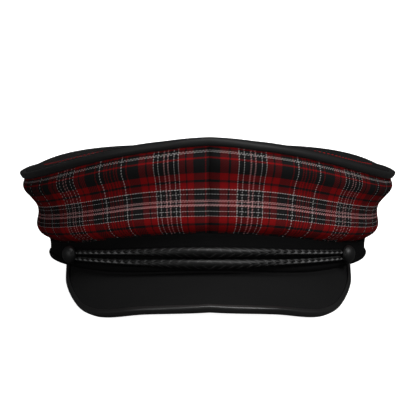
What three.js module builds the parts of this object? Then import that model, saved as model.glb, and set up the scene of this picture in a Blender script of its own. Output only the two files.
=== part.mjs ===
// A cadet cap with a raised front: a flared side wall in two tartan panels, a domed black top edged with
// piping, a black band with two plaited cords held by a button at each end, and a drooping bound peak.
//
// Everything is worked out in the cap's own frame, in millimetres: +X to the wearer's left, -Y to the front,
// +Z up, with z = 0 on the plane of the band's lower edge. Angles run round the head from the front seam
// (0 degrees) to the back seam (180 degrees). The last lines lay the finished cap on a table.

import * as THREE from "three";

// Sizes that drive the cap.
const CLEARANCE = 0.3; // gap between two pieces that are sewn or set together

const BAND = {
  halfWidth: 88.3, // outer face of the band at the sides
  halfDepth: 101.3, // outer face of the band at the front and back
  thickness: 3,
  heightAtSide: 10.5,
  frontRise: 12.9, // how much taller the band is at the front
  risePower: 2.6,
  hem: 3.5, // height of the rolled lower edge
  frontArch: 3.2, // how far the lower edge lifts over the peak
  archHalfAngle: 45,
};

const CROWN = {
  cloth: 1.6,
  rimAtSide: 43.9, // top of the side wall over the ears
  frontRise: 25.4,
  risePower: 2.2,
  backDrop: 3,
  ridge: 1.4, // small point of the rim at the front seam
  ridgeHalfAngle: 14,
  seamDent: 1.1, // how far the seams pull the wall in
  seamDentAngle: 3,
  topMiddle: 59.4, // height of the top panel at its middle
  sidePower: 4.5, // how squarely the top panel turns down to its edge at the sides
  endPower: 2.3, // the same towards the front and back
  edgeAbovePiping: 1.5, // outer face of the top panel's edge over the piping's centre line
  frontFullness: 2.1, // how far the top panel puffs up just inside its edge, at the front
  cornerFullness: 1.4, // and how much more halfway from the front to each side
  fullnessPower: 11,
};

const PIPING = { radius: 2.3, out: 14.7 };

// Outer face of the side wall: up is a share of the wall's height, out is millimetres beyond the band's face.
const WALL_FOLDS = [
  { up: 0.0, out: -1.2 },
  { up: 0.035, out: 2.2 },
  { up: 0.09, out: 5.2 },
  { up: 0.16, out: 6.7 },
  { up: 0.25, out: 7.1 },
  { up: 0.42, out: 6.3 },
  { up: 0.56, out: 7.3 },
  { up: 0.69, out: 11.2 },
  { up: 0.79, out: 14.2 },
  { up: 0.88, out: 15.3 },
  { up: 1.0, out: 14.3 },
];

// Outer face of the band: hem is a share of the hem's height, rise a share of the height above the hem.
const BAND_PROFILE = [
  { hem: 0.0, rise: 0.0, out: -0.9 },
  { hem: 0.25, rise: 0.0, out: 0.4 },
  { hem: 0.6, rise: 0.0, out: 0.8 },
  { hem: 1.0, rise: 0.0, out: 0.2 },
  { hem: 1.0, rise: 0.4, out: -0.2 },
  { hem: 1.0, rise: 1.0, out: 0.6 },
];

const PEAK = {
  board: 1.6, // thickness of the stiffened leather
  rootHalfAngle: 60.3,
  rootOut: -1.5,
  rootDrop: 1.6, // middle of the board below the band's lower edge
  tipDrop: 0.5, // how much lower still at the two tips
  reach: 136, // outer edge at the middle, forward of the cap's centre
  bow: 1.2, // upward crown between root and edge
};

// The peak's outer edge, by the angle round its outline from the middle: side is a share of its half width,
// drop is how far it droops in millimetres.
const PEAK_EDGE = [
  { turn: 0, side: 0, drop: 12.2 },
  { turn: 26, side: 0.45, drop: 14.5 },
  { turn: 44, side: 0.72, drop: 18.3 },
  { turn: 54, side: 0.835, drop: 18.8 },
  { turn: 65, side: 0.925, drop: 16.5 },
  { turn: 80, side: 0.995, drop: 9.2 },
  { turn: 90, side: 1, drop: 2.7 },
];

const BINDING = { leather: 1, overlap: 1.6, tipOverlap: 0.4 };

// The two plaited cords: heights above the band's lower edge, and radii, at the middle and at the buttons.
const CORDS = [
  { name: "chin_cord_upper", middle: 13.4, end: 8.4, middleRadius: 2.7, endRadius: 1.3 },
  { name: "chin_cord_lower", middle: 7.6, end: 4.7, middleRadius: 2.5, endRadius: 1.3 },
];
const CORD_END_ANGLE = 52.3;
const CORD_TAPER_POWER = 4;
const CORD_STANDOFF = 0.4; // from the band's face to the cord's nearest side

const BUTTON = {
  height: 7.5,
  radius: 4.8,
  dome: 3.6,
  skirt: 0.8,
  base: 4, // underside of the head above the band's face
  shankRadius: 1.4,
};

// Place of each button round the head, and how far it leans forward from the band's face.
const BUTTONS = [
  { name: "button_right", angle: -54.2, lean: 8 },
  { name: "button_left", angle: 54.2, lean: 0 },
];

// The cap lies nose up on the peak's two corners and the back of the band, which press this flat.
const REST = { press: 0.35, steepest: 12 };

// Number of faces that each rounded form is built from.
const STEP_ANGLE = 6; // degrees round the head
const SEAM_STATIONS = [0, 1.5, 3, 5, 8]; // degrees from a seam, where the wall bends sharply
const TOP_RINGS = [1, 0.96, 0.91, 0.82, 0.66, 0.4, 0];
const PEAK_STATIONS = 36;
const PEAK_ROWS = 5;
const CORD_STATIONS = 44;
const SECTION_SIDES = 8;
const BUTTON_SIDES = 16;
const DOME_STEPS = 5;

const radians = THREE.MathUtils.degToRad;

// Value of a table's column at a place along another column, with a smooth curve through the rows.
function readTable(rows, key, column, at) {
  const last = rows.length - 2;
  const found = rows.findIndex((row, i) => i <= last && at <= rows[i + 1][key]);
  const i = found < 0 ? last : found;
  const slope = (j) => {
    const low = rows[Math.max(j - 1, 0)];
    const high = rows[Math.min(j + 1, rows.length - 1)];
    return (high[column] - low[column]) / (high[key] - low[key]);
  };
  const span = rows[i + 1][key] - rows[i][key];
  const t = THREE.MathUtils.clamp((at - rows[i][key]) / span, 0, 1);
  const rise = rows[i + 1][column] - rows[i][column];
  const start = slope(i) * span;
  const end = slope(i + 1) * span;
  return rows[i][column] + start * t + (3 * rise - 2 * start - end) * t ** 2
    + (start + end - 2 * rise) * t ** 3;
}

// Point at an angle round the head, a distance outside the band's face, at a height.
function roundHead(angle, out, z) {
  return new THREE.Vector3(
    (BAND.halfWidth + out) * Math.sin(angle),
    -(BAND.halfDepth + out) * Math.cos(angle),
    z,
  );
}

const frontShare = (angle) => Math.max(Math.cos(angle), 0);

function bandTop(angle) {
  return BAND.heightAtSide + BAND.frontRise * frontShare(angle) ** BAND.risePower;
}

function bandBottom(angle) {
  const turn = Math.abs(angle) / radians(BAND.archHalfAngle);
  return turn < 1 ? BAND.frontArch * Math.cos((turn * Math.PI) / 2) ** 2 : 0;
}

function rimHeight(angle) {
  const ridge = Math.max(0, 1 - Math.abs(angle) / radians(CROWN.ridgeHalfAngle));
  const back = Math.max(-Math.cos(angle), 0);
  return CROWN.rimAtSide + CROWN.frontRise * frontShare(angle) ** CROWN.risePower
    + CROWN.ridge * ridge - CROWN.backDrop * back ** 2;
}

// How far the front and back seams pull the cloth in at an angle.
function seamDent(angle) {
  const fromSeam = Math.min(Math.abs(angle), Math.PI - Math.abs(angle));
  return CROWN.seamDent * Math.exp(-((fromSeam / radians(CROWN.seamDentAngle)) ** 2));
}

// Angles round the head from one seam to the other, closer together next to each seam.
function panelAngles(from, to) {
  const close = SEAM_STATIONS.map(radians);
  const first = close.at(-1);
  const span = Math.PI - 2 * first;
  const count = Math.round(span / radians(STEP_ANGLE));
  const middle = Array.from({ length: count - 1 }, (_, i) => first + (span * (i + 1)) / count);
  const half = [...close, ...middle, ...close.map((a) => Math.PI - a).reverse()];
  return half.map((a) => from + ((to - from) * a) / Math.PI);
}

const ringAngles = [...panelAngles(-Math.PI, 0).slice(0, -1), ...panelAngles(0, Math.PI).slice(0, -1)];

// Closed surface through loops of points, each loop joined to the next, and the last to the first if endless.
function loft(loops, endless) {
  const size = loops[0].length;
  const points = loops.flat();
  const index = [];
  const addTriangle = (...corners) => {
    const [a, b, c] = corners.map((i) => points[i]);
    const apart = Math.min(a.distanceTo(b), b.distanceTo(c), c.distanceTo(a));
    if (apart > 1e-6) index.push(...corners);
  };
  for (let i = 0; i < (endless ? loops.length : loops.length - 1); i++) {
    const here = i * size;
    const next = ((i + 1) % loops.length) * size;
    for (let j = 0; j < size; j++) {
      const k = (j + 1) % size;
      addTriangle(here + j, next + j, next + k);
      addTriangle(here + j, next + k, here + k);
    }
  }
  return new THREE.BufferGeometry().setFromPoints(points).setIndex(index);
}

// Wall with an outer and an inner face, given station by station as two rows of points that pair up.
// An open wall is closed at each end along the line halfway between its faces.
function wall(stations, endless) {
  const loops = stations.map(({ outer, inner }) => [...outer, ...inner.toReversed()]);
  if (!endless) {
    for (const end of [0, stations.length - 1]) {
      const { outer, inner } = stations[end];
      const middle = outer.map((p, i) => p.clone().lerp(inner[i], 0.5));
      const cap = [...middle, ...middle.toReversed()];
      if (end === 0) loops.unshift(cap);
      else loops.push(cap);
    }
  }
  return loft(loops, endless);
}

// Round rod through stations of { centre, side, up, radius }, closed to a point at each end unless endless.
function rod(stations, endless) {
  const loops = stations.map(({ centre, side, up, radius }) =>
    Array.from({ length: SECTION_SIDES }, (_, i) => {
      const turn = ((i + 0.5) / SECTION_SIDES) * 2 * Math.PI;
      return centre.clone()
        .addScaledVector(side, radius * Math.cos(turn))
        .addScaledVector(up, radius * Math.sin(turn));
    }));
  if (!endless) {
    loops.unshift(loops[0].map(() => stations[0].centre));
    loops.push(loops[0].map(() => stations.at(-1).centre));
  }
  return loft(loops, endless);
}

// Side wall of the crown between two angles, in one thickness of cloth that follows the folds.
function sidePanel(from, to) {
  const stations = panelAngles(from, to).map((angle) => {
    const foot = bandTop(angle) + CLEARANCE;
    const height = rimHeight(angle) - foot;
    const dent = seamDent(angle);
    const face = WALL_FOLDS.map(({ up, out }) => new THREE.Vector2(out - dent, foot + up * height));
    const inside = face.map((p, i) => {
      const run = face[Math.min(i + 1, face.length - 1)].clone().sub(face[Math.max(i - 1, 0)]).normalize();
      return new THREE.Vector2(p.x - CROWN.cloth * run.y, p.y + CROWN.cloth * run.x);
    });
    const place = (p) => roundHead(angle, p.x, p.y);
    return { outer: face.map(place), inner: inside.map(place) };
  });
  return wall(stations, false);
}

// Rise of the top panel just inside its edge, from the front round to each side.
function puff(angle, share) {
  const power = CROWN.fullnessPower;
  const peak = (power / (power + 1)) ** power / (power + 1);
  const corner = Math.max(Math.sin(2 * Math.abs(angle)), 0);
  const fullness = CROWN.frontFullness * frontShare(angle) + CROWN.cornerFullness * corner;
  return (fullness * share ** power * (1 - share)) / peak;
}

// Domed top panel, in one thickness of cloth, that ends inside the piping.
function topPanel() {
  const edgeOut = PIPING.out - PIPING.radius - CLEARANCE;
  const stations = ringAngles.map((angle) => {
    const edge = pipingHeight(angle) + CROWN.edgeAbovePiping;
    const power = THREE.MathUtils.lerp(CROWN.sidePower, CROWN.endPower, Math.cos(angle) ** 2);
    const outer = TOP_RINGS.map((share) => {
      const z = CROWN.topMiddle + (edge - CROWN.topMiddle) * share ** power + puff(angle, share);
      const rim = roundHead(angle, edgeOut, z);
      return new THREE.Vector3(rim.x * share, rim.y * share, z);
    });
    const inner = outer.map((p) => new THREE.Vector3(p.x, p.y, p.z - CROWN.cloth));
    return { outer, inner };
  });
  return wall(stations, true);
}

function pipingHeight(angle) {
  return rimHeight(angle) + CLEARANCE + PIPING.radius;
}

// Cord of leather that edges the top panel all the way round.
function piping() {
  const stations = ringAngles.map((angle) => ({
    centre: roundHead(angle, PIPING.out, pipingHeight(angle)),
    side: new THREE.Vector3(Math.sin(angle), -Math.cos(angle), 0),
    up: new THREE.Vector3(0, 0, 1),
    radius: PIPING.radius,
  }));
  return rod(stations, true);
}

function headBand() {
  const stations = ringAngles.map((angle) => {
    const bottom = bandBottom(angle);
    const above = bandTop(angle) - bottom - BAND.hem;
    const height = ({ hem, rise }) => bottom + BAND.hem * hem + above * rise;
    return {
      outer: BAND_PROFILE.map((row) => roundHead(angle, row.out, height(row))),
      inner: BAND_PROFILE.map((row) => roundHead(angle, -BAND.thickness, height(row))),
    };
  });
  return wall(stations, true);
}

// Middle of the peak's board: across runs from -1 to 1 side to side,
// and down from 0 at the root to 1 at the edge.
function peakPoint(across, down) {
  const rootAngle = across * radians(PEAK.rootHalfAngle);
  const drop = PEAK.rootDrop + PEAK.tipDrop * across ** 6;
  const root = roundHead(rootAngle, PEAK.rootOut, bandBottom(rootAngle) - drop);
  const tip = roundHead(radians(PEAK.rootHalfAngle), PEAK.rootOut, 0);
  const turn = Math.abs(across) * 90;
  const edge = new THREE.Vector3(
    tip.x * Math.sign(across) * readTable(PEAK_EDGE, "turn", "side", turn),
    tip.y - (PEAK.reach + tip.y) * Math.cos(radians(turn)),
    -readTable(PEAK_EDGE, "turn", "drop", turn),
  );
  const lift = PEAK.bow * 4 * down * (1 - down) * Math.cos(radians(turn));
  return root.lerp(edge, down).add(new THREE.Vector3(0, 0, lift));
}

// Directions at a place on the peak: along its edge, outward down its slope, and square to its upper face.
function peakFrame(across, down) {
  const step = 0.01;
  const near = THREE.MathUtils.clamp(across, -0.97, 0.97);
  const along = peakPoint(near + step, down).sub(peakPoint(near - step, down)).normalize();
  const slope = peakPoint(near, Math.min(down + step, 1)).sub(peakPoint(near, Math.max(down - step, 0)));
  const face = slope.cross(along).normalize();
  return { along, face, outward: along.clone().cross(face) };
}

const peakPlaces = Array.from({ length: PEAK_STATIONS + 1 }, (_, i) => {
  const t = (2 * i) / PEAK_STATIONS - 1;
  return Math.sin((t * Math.PI) / 2) * 0.35 + t * 0.65;
});

function peakBoard() {
  const rows = Array.from({ length: PEAK_ROWS }, (_, i) => 1 - i / (PEAK_ROWS - 1));
  const stations = peakPlaces.map((across) => {
    const face = (side) => rows.map((down) =>
      peakPoint(across, down).addScaledVector(peakFrame(across, down).face, (side * PEAK.board) / 2));
    return { outer: face(1), inner: face(-1) };
  });
  return wall(stations, false);
}

// Leather strip folded round the peak's outer edge, narrower where the peak itself narrows to its tips.
function peakBinding() {
  const inside = PEAK.board / 2 + CLEARANCE;
  const outside = inside + BINDING.leather;
  const section = (depth, overlap) => [
    { out: -overlap, up: -depth },
    { out: CLEARANCE / 2, up: -depth },
    { out: CLEARANCE + (depth - inside) * 0.75, up: -depth * 0.6 },
    { out: CLEARANCE + depth - inside, up: 0 },
    { out: CLEARANCE + (depth - inside) * 0.75, up: depth * 0.6 },
    { out: CLEARANCE / 2, up: depth },
    { out: -overlap, up: depth },
  ];
  const stations = peakPlaces.map((across) => {
    const edge = peakPoint(across, 1);
    const width = edge.distanceTo(peakPoint(across, 0));
    const overlap = Math.min(BINDING.overlap, BINDING.tipOverlap + width * 0.5);
    const { face, outward } = peakFrame(across, 1);
    const place = ({ out, up }) => edge.clone().addScaledVector(outward, out).addScaledVector(face, up);
    return { outer: section(outside, overlap).map(place), inner: section(inside, overlap).map(place) };
  });
  return wall(stations, false);
}

// One plaited cord along the front of the band, thickest at the middle.
function chinCord({ middle, end, middleRadius, endRadius }) {
  const stations = Array.from({ length: CORD_STATIONS + 1 }, (_, i) => {
    const share = (2 * i) / CORD_STATIONS - 1;
    const angle = share * radians(CORD_END_ANGLE);
    const swell = Math.cos((share * Math.PI) / 2);
    const radius = endRadius + (middleRadius - endRadius) * swell ** CORD_TAPER_POWER;
    return {
      centre: roundHead(angle, CORD_STANDOFF + radius, end + (middle - end) * swell),
      side: new THREE.Vector3(Math.sin(angle), -Math.cos(angle), 0),
      up: new THREE.Vector3(0, 0, 1),
      radius,
    };
  });
  return rod(stations, false);
}

// Domed button with its shank, turned about its own axis, its foot at the band's face.
function buttonShape() {
  const dome = Array.from({ length: DOME_STEPS }, (_, i) => {
    const turn = ((i + 1) / DOME_STEPS) * (Math.PI / 2);
    return new THREE.Vector2(
      i + 1 === DOME_STEPS ? 0 : BUTTON.radius * Math.cos(turn),
      BUTTON.base + BUTTON.skirt + BUTTON.dome * Math.sin(turn),
    );
  });
  const profile = [
    new THREE.Vector2(0, CLEARANCE),
    new THREE.Vector2(BUTTON.shankRadius, CLEARANCE),
    new THREE.Vector2(BUTTON.shankRadius, BUTTON.base),
    new THREE.Vector2(BUTTON.radius - CLEARANCE, BUTTON.base),
    new THREE.Vector2(BUTTON.radius, BUTTON.base + BUTTON.skirt),
    ...dome,
  ];
  return new THREE.LatheGeometry(profile, BUTTON_SIDES);
}

function placeButton(mesh, { angle, lean }) {
  const place = radians(angle);
  const outward = new THREE.Vector3(Math.sin(place) / BAND.halfWidth, -Math.cos(place) / BAND.halfDepth, 0);
  outward.normalize().applyAxisAngle(new THREE.Vector3(0, 0, 1), Math.sign(-angle) * radians(lean));
  mesh.position.copy(roundHead(place, 0, BUTTON.height));
  mesh.quaternion.setFromUnitVectors(new THREE.Vector3(0, 1, 0), outward);
}

const blackCloth = new THREE.MeshStandardMaterial({ color: 0x141414, roughness: 0.85, metalness: 0 });
const blackLeather = new THREE.MeshStandardMaterial({ color: 0x121212, roughness: 0.45, metalness: 0 });
const tartanCloth = new THREE.MeshStandardMaterial({ color: 0x4c0b0d, roughness: 0.8, metalness: 0 });
const blackBraid = new THREE.MeshStandardMaterial({ color: 0x1b1b1b, roughness: 0.55, metalness: 0 });
const blackEnamel = new THREE.MeshStandardMaterial({ color: 0x161616, roughness: 0.35, metalness: 0.1 });

const cap = new THREE.Group();

function addPiece(name, geometry, material) {
  const mesh = new THREE.Mesh(geometry, material);
  mesh.name = name;
  cap.add(mesh);
  return mesh;
}

const seamTurn = CLEARANCE / 2 / BAND.halfDepth;
addPiece("side_panel_right", sidePanel(-Math.PI + seamTurn, -seamTurn), tartanCloth);
addPiece("side_panel_left", sidePanel(seamTurn, Math.PI - seamTurn), tartanCloth);
addPiece("crown_top", topPanel(), blackCloth);
addPiece("crown_piping", piping(), blackLeather);
const band = addPiece("head_band", headBand(), blackCloth);
addPiece("peak", peakBoard(), blackLeather);
const binding = addPiece("peak_binding", peakBinding(), blackLeather);
CORDS.forEach((cord) => addPiece(cord.name, chinCord(cord), blackBraid));
BUTTONS.forEach((row) => placeButton(addPiece(row.name, buttonShape(), blackEnamel), row));

// Height of a piece's lowest point with the cap tipped back by an angle.
function lowest({ geometry }, tilt) {
  const position = geometry.getAttribute("position").clone();
  position.applyMatrix4(new THREE.Matrix4().makeRotationX(-tilt));
  return new THREE.Box3().setFromBufferAttribute(position).min.z;
}

// Tilt at which the peak's edge and the band touch the table together.
function restingTilt() {
  let low = 0;
  let high = radians(REST.steepest);
  while (high - low > 1e-7) {
    const middle = (low + high) / 2;
    if (lowest(binding, middle) < lowest(band, middle)) low = middle;
    else high = middle;
  }
  return low;
}

// Lay the cap down, press flat what would reach below the table, and stand it over the origin.
const tilt = restingTilt();
cap.rotation.x = -tilt;
cap.position.z = -lowest(band, tilt) - REST.press;
cap.updateMatrixWorld(true);
const table = new THREE.Plane(new THREE.Vector3(0, 0, 1), 0);
table.applyMatrix4(cap.matrixWorld.clone().invert());
for (const { geometry } of [band, binding]) {
  const position = geometry.getAttribute("position");
  const point = new THREE.Vector3();
  for (let i = 0; i < position.count; i++) {
    point.fromBufferAttribute(position, i);
    if (table.distanceToPoint(point) < 0) {
      table.projectPoint(point, point);
      position.setXYZ(i, point.x, point.y, point.z);
    }
  }
}
const extent = new THREE.Box3().setFromObject(cap, true);
cap.position.y -= (extent.min.y + extent.max.y) / 2;
cap.position.z -= extent.min.z;

export default cap;
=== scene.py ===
"""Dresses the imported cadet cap: tartan wall, black top, piping, band, plaited cords, buttons and bound peak.

Shapes are worked out in the cap's own frame in millimetres (+X to the wearer's left, -Y to the front, +Z up,
z = 0 on the plane of the band's lower edge), then laid on the table and turned into metres by CapForm.place.
"""

import logging
import math
from dataclasses import dataclass, field
from enum import Enum
from typing import NamedTuple, Sequence

import bmesh
import bpy
import numpy as np
from mathutils import Matrix, Vector

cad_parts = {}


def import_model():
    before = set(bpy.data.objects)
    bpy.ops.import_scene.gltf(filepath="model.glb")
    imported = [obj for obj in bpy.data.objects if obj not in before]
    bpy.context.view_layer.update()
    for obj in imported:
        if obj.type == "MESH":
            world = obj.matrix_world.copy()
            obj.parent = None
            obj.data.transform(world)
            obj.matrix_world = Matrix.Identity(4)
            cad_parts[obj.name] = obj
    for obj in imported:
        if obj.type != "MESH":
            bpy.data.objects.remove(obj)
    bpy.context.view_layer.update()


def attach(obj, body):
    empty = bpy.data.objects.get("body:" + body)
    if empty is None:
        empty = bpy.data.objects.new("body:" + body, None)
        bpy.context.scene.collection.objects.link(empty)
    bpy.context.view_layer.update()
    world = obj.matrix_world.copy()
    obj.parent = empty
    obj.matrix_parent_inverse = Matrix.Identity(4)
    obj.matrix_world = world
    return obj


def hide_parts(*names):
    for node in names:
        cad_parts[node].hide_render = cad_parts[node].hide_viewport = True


LOG = logging.getLogger("cadet_cap")
Array = np.ndarray
Colour = tuple[float, float, float, float]
Pair = tuple[float, float]
Point = tuple[float, float, float]
Noise = tuple[float, float, float]
Table = tuple[tuple[float, ...], ...]
Group = bpy.types.ShaderNodeTree
Material = bpy.types.Material
Node = bpy.types.Node
Piece = bpy.types.Object
Socket = bpy.types.NodeSocket

MM = 0.001
HALF_TURN = math.pi
QUARTER_TURN = HALF_TURN / 2
FULL_TURN = 2 * HALF_TURN
UP = np.array([0.0, 0.0, 1.0])

# The range of a mask, and the one that fine noise mostly keeps to.
WHOLE: Pair = (0.0, 1.0)
NOISE_SPAN: Pair = (0.3, 0.7)

# In metres: points this near are one point, and edges this short are dropped.
SAME_POINT = 1e-6
NO_LENGTH = 1e-7


def unit(vectors: Array) -> Array:
    """Vectors along the last axis, brought to a length of 1."""
    return vectors / np.linalg.norm(vectors, axis=-1, keepdims=True)


def radial(angle: Array) -> Array:
    """Level directions out from the head's middle, at angles from the front."""
    return np.stack([np.sin(angle), -np.cos(angle), 0 * angle], axis=-1)


def spokes(turn: Array, side: Array, up: Array) -> Array:
    """Directions round a tube, turned from its side towards its top."""
    return np.cos(turn)[..., None] * side + np.sin(turn)[..., None] * up


def arc(middle: Pair, radii: Pair, turn: Array) -> Array:
    """Points of an arc in a plane, by turns from its first axis towards its second."""
    return np.stack([middle[0] + radii[0] * np.cos(turn), middle[1] + radii[1] * np.sin(turn)], axis=-1)


def ring_turns(count: int, start: float = 0.0) -> Array:
    """Evenly spaced turns once round a ring."""
    return np.linspace(start, start + FULL_TURN, count, endpoint=False)


def from_seam(angle: Array) -> Array:
    """Radians from the nearer seam, front or back."""
    return np.minimum(np.abs(angle), HALF_TURN - np.abs(angle))


def square_to(line: Array) -> tuple[Array, Array]:
    """Unit directions square to a line, sideways and up.

    Args:
        line: Points along the line.

    Returns:
        The side and the top direction at each point.
    """
    tangent = unit(np.gradient(line, axis=0))
    up = unit(UP - tangent * tangent[:, 2:])
    return np.cross(tangent, up), up


@dataclass(frozen=True)
class CapForm:
    """The cap's driving sizes in millimetres and degrees, and the curves that every piece follows."""

    tilt_deg: float = 5.8376198
    lie: Point = (0.0, 7.9726378, 9.8616356)
    clearance: float = 0.3
    band_half_width: float = 88.3
    band_half_depth: float = 101.3
    band_thickness: float = 3.0
    band_side_height: float = 10.5
    band_front_rise: float = 12.9
    band_rise_power: float = 2.6
    band_hem: float = 3.5
    front_arch: float = 3.2
    arch_half_angle: float = 45.0
    cloth: float = 1.6
    rim_at_side: float = 43.9
    rim_front_rise: float = 25.4
    rim_rise_power: float = 2.2
    rim_back_drop: float = 3.0
    rim_ridge: float = 1.4
    ridge_half_angle: float = 14.0
    seam_dent: float = 2.8
    seam_dent_angle: float = 1.9
    top_middle: float = 59.4
    top_side_power: float = 5.6
    top_end_power: float = 2.3
    top_edge_above_piping: float = 1.5
    front_fullness: float = 2.1
    corner_fullness: float = 1.4
    fullness_power: float = 11.0
    piping_radius: float = 2.3
    piping_out: float = 14.7

    def round_head(self, angle: Array, out: Array, z: Array) -> Array:
        """Points at angles round the head, outside the band's face, at heights.

        Args:
            angle: Radians from the front, positive towards the wearer's left.
            out: Millimetres outside the band's face.
            z: Millimetres above the plane of the band's lower edge.

        Returns:
            An array of points with a last axis of 3.
        """
        angle, out, z = np.broadcast_arrays(angle, out, z)
        x = (self.band_half_width + out) * np.sin(angle)
        y = -(self.band_half_depth + out) * np.cos(angle)
        return np.stack([x, y, z], axis=-1)

    def band_top(self, angle: Array) -> Array:
        """Height of the band's upper edge."""
        front = np.maximum(np.cos(angle), 0.0)
        return self.band_side_height + self.band_front_rise * front**self.band_rise_power

    def band_bottom(self, angle: Array) -> Array:
        """Height of the band's lower edge, arched over the peak."""
        turn = np.minimum(np.abs(angle) / math.radians(self.arch_half_angle), 1.0)
        return self.front_arch * np.cos(turn * QUARTER_TURN) ** 2

    def rim(self, angle: Array) -> Array:
        """Height of the side wall's upper edge."""
        front = np.maximum(np.cos(angle), 0.0)
        back = np.maximum(-np.cos(angle), 0.0)
        ridge = np.maximum(0.0, 1 - np.abs(angle) / math.radians(self.ridge_half_angle))
        rise = self.rim_front_rise * front**self.rim_rise_power
        return self.rim_at_side + rise + self.rim_ridge * ridge - self.rim_back_drop * back**2

    def dent(self, angle: Array) -> Array:
        """How far the front and back seams pull the wall in."""
        return self.seam_dent * np.exp(-from_seam(angle) / math.radians(self.seam_dent_angle))

    def piping_height(self, angle: Array) -> Array:
        """Height of the piping's centre line."""
        return self.rim(angle) + self.clearance + self.piping_radius

    def top_height(self, angle: Array, share: Array) -> Array:
        """Height of the top panel.

        Args:
            angle: Radians from the front.
            share: 0 at the panel's middle and 1 at its edge.

        Returns:
            Millimetres above the plane of the band's lower edge.
        """
        edge = self.piping_height(angle) + self.top_edge_above_piping
        power = self.top_side_power + (self.top_end_power - self.top_side_power) * np.cos(angle) ** 2
        high = self.fullness_power
        peak = (high / (high + 1)) ** high / (high + 1)
        full = self.front_fullness * np.maximum(np.cos(angle), 0)
        full = full + self.corner_fullness * np.maximum(np.sin(2 * np.abs(angle)), 0)
        plain = self.top_middle + (edge - self.top_middle) * share**power
        return plain + full * share**high * (1 - share) / peak

    def around(self, angle: Array) -> Array:
        """Rough length round the head in millimetres, for the weave."""
        return angle * (self.band_half_width + self.band_half_depth) / 2

    def lying(self) -> Matrix:
        """The turn and shift in millimetres that lay the cap on the table."""
        return Matrix.Translation(self.lie) @ Matrix.Rotation(-math.radians(self.tilt_deg), 4, "X")

    def place(self, points: Array) -> Array:
        """Cap-frame millimetres to metres on the table.

        Args:
            points: An array with a last axis of 3.

        Returns:
            The same array laid down, with nothing below the table.
        """
        lying = np.array(self.lying())
        placed = (points @ lying[:3, :3].T + lying[:3, 3]) * MM
        placed[..., 2] = np.maximum(placed[..., 2], 0.0)
        return placed

    def outward(self, angle: float) -> Vector:
        """Unit normal of the band's face at an angle."""
        x = math.sin(angle) / self.band_half_width
        y = -math.cos(angle) / self.band_half_depth
        return Vector((x, y, 0.0)).normalized()


def read_table(rows: Table, column: int, at: Array) -> Array:
    """Reads a table between its rows with a smooth curve.

    Args:
        rows: Rows whose first entry rises steadily.
        column: Which entry of a row to read.
        at: Places along the first entry.

    Returns:
        The column's values at those places.
    """
    keys = np.array([row[0] for row in rows], dtype=float)
    values = np.array([row[column] for row in rows], dtype=float)
    low = np.maximum(np.arange(len(keys)) - 1, 0)
    high = np.minimum(np.arange(len(keys)) + 1, len(keys) - 1)
    slopes = (values[high] - values[low]) / (keys[high] - keys[low])
    at = np.clip(at, keys[0], keys[-1])
    i = np.clip(np.searchsorted(keys, at, side="right") - 1, 0, len(keys) - 2)
    span = keys[i + 1] - keys[i]
    t = (at - keys[i]) / span
    rise = values[i + 1] - values[i]
    start, end = slopes[i] * span, slopes[i + 1] * span
    return values[i] + start * t + (3 * rise - 2 * start - end) * t**2 + (start + end - 2 * rise) * t**3


@dataclass
class Loft:
    """A surface through a grid of points, with texture coordinates for each corner of each face."""

    points: Array
    closed_along: bool = False
    closed_round: bool = True
    uv_maps: dict[str, Array] = field(default_factory=dict)

    def build(self, name: str, material: Material) -> Piece:
        """Makes the mesh object.

        Args:
            name: The piece's name.
            material: Its finish.

        Returns:
            The linked object, its faces turned outward.
        """
        n, m = self.points.shape[:2]
        i = np.arange(n if self.closed_along else n - 1)
        j = np.arange(m if self.closed_round else m - 1)
        grid_i, grid_j = np.meshgrid(i, j, indexing="ij")
        corners_i = np.stack([grid_i, grid_i + 1, grid_i + 1, grid_i], axis=-1).reshape(-1, 4)
        corners_j = np.stack([grid_j, grid_j, grid_j + 1, grid_j + 1], axis=-1).reshape(-1, 4)
        faces = (corners_i % n) * m + corners_j % m
        verts = self.points.reshape(-1, 3)
        quads = verts[faces]
        volume = sum(np.sum(quads[:, 0] * np.cross(quads[:, k], quads[:, k + 1])) for k in (1, 2))
        if volume < 0:
            faces, corners_i, corners_j = faces[:, ::-1], corners_i[:, ::-1], corners_j[:, ::-1]
        mesh = bpy.data.meshes.new(name)
        mesh.from_pydata(verts.tolist(), [], faces.tolist())
        for map_name, values in self.uv_maps.items():
            layer = mesh.uv_layers.new(name=map_name)
            layer.data.foreach_set("uv", values[corners_i, corners_j].reshape(-1).astype(np.float32))
        return finish_mesh(name, mesh, material)


def finish_mesh(name: str, mesh: bpy.types.Mesh, material: Material) -> Piece:
    """Merges doubled points, smooths the shading and links the object.

    Args:
        name: The piece's name.
        mesh: Its mesh, in metres on the table.
        material: Its finish.

    Returns:
        The linked object.
    """
    work = bmesh.new()
    work.from_mesh(mesh)
    bmesh.ops.remove_doubles(work, verts=work.verts, dist=SAME_POINT)
    bmesh.ops.dissolve_degenerate(work, edges=work.edges, dist=NO_LENGTH)
    work.to_mesh(mesh)
    work.free()
    mesh.polygons.foreach_set("use_smooth", [True] * len(mesh.polygons))
    mesh.materials.append(material)
    made = bpy.data.objects.new(name, mesh)
    bpy.context.scene.collection.objects.link(made)
    return made


def hand_over(piece: Piece, slot: str, *nodes: str) -> None:
    """Rides a piece on the cap and hides the imported solids that it stands for."""
    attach(piece, "root")
    if nodes:
        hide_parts(*nodes)
    LOG.info("%s: %d faces", piece.name, len(piece.data.polygons))


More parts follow.
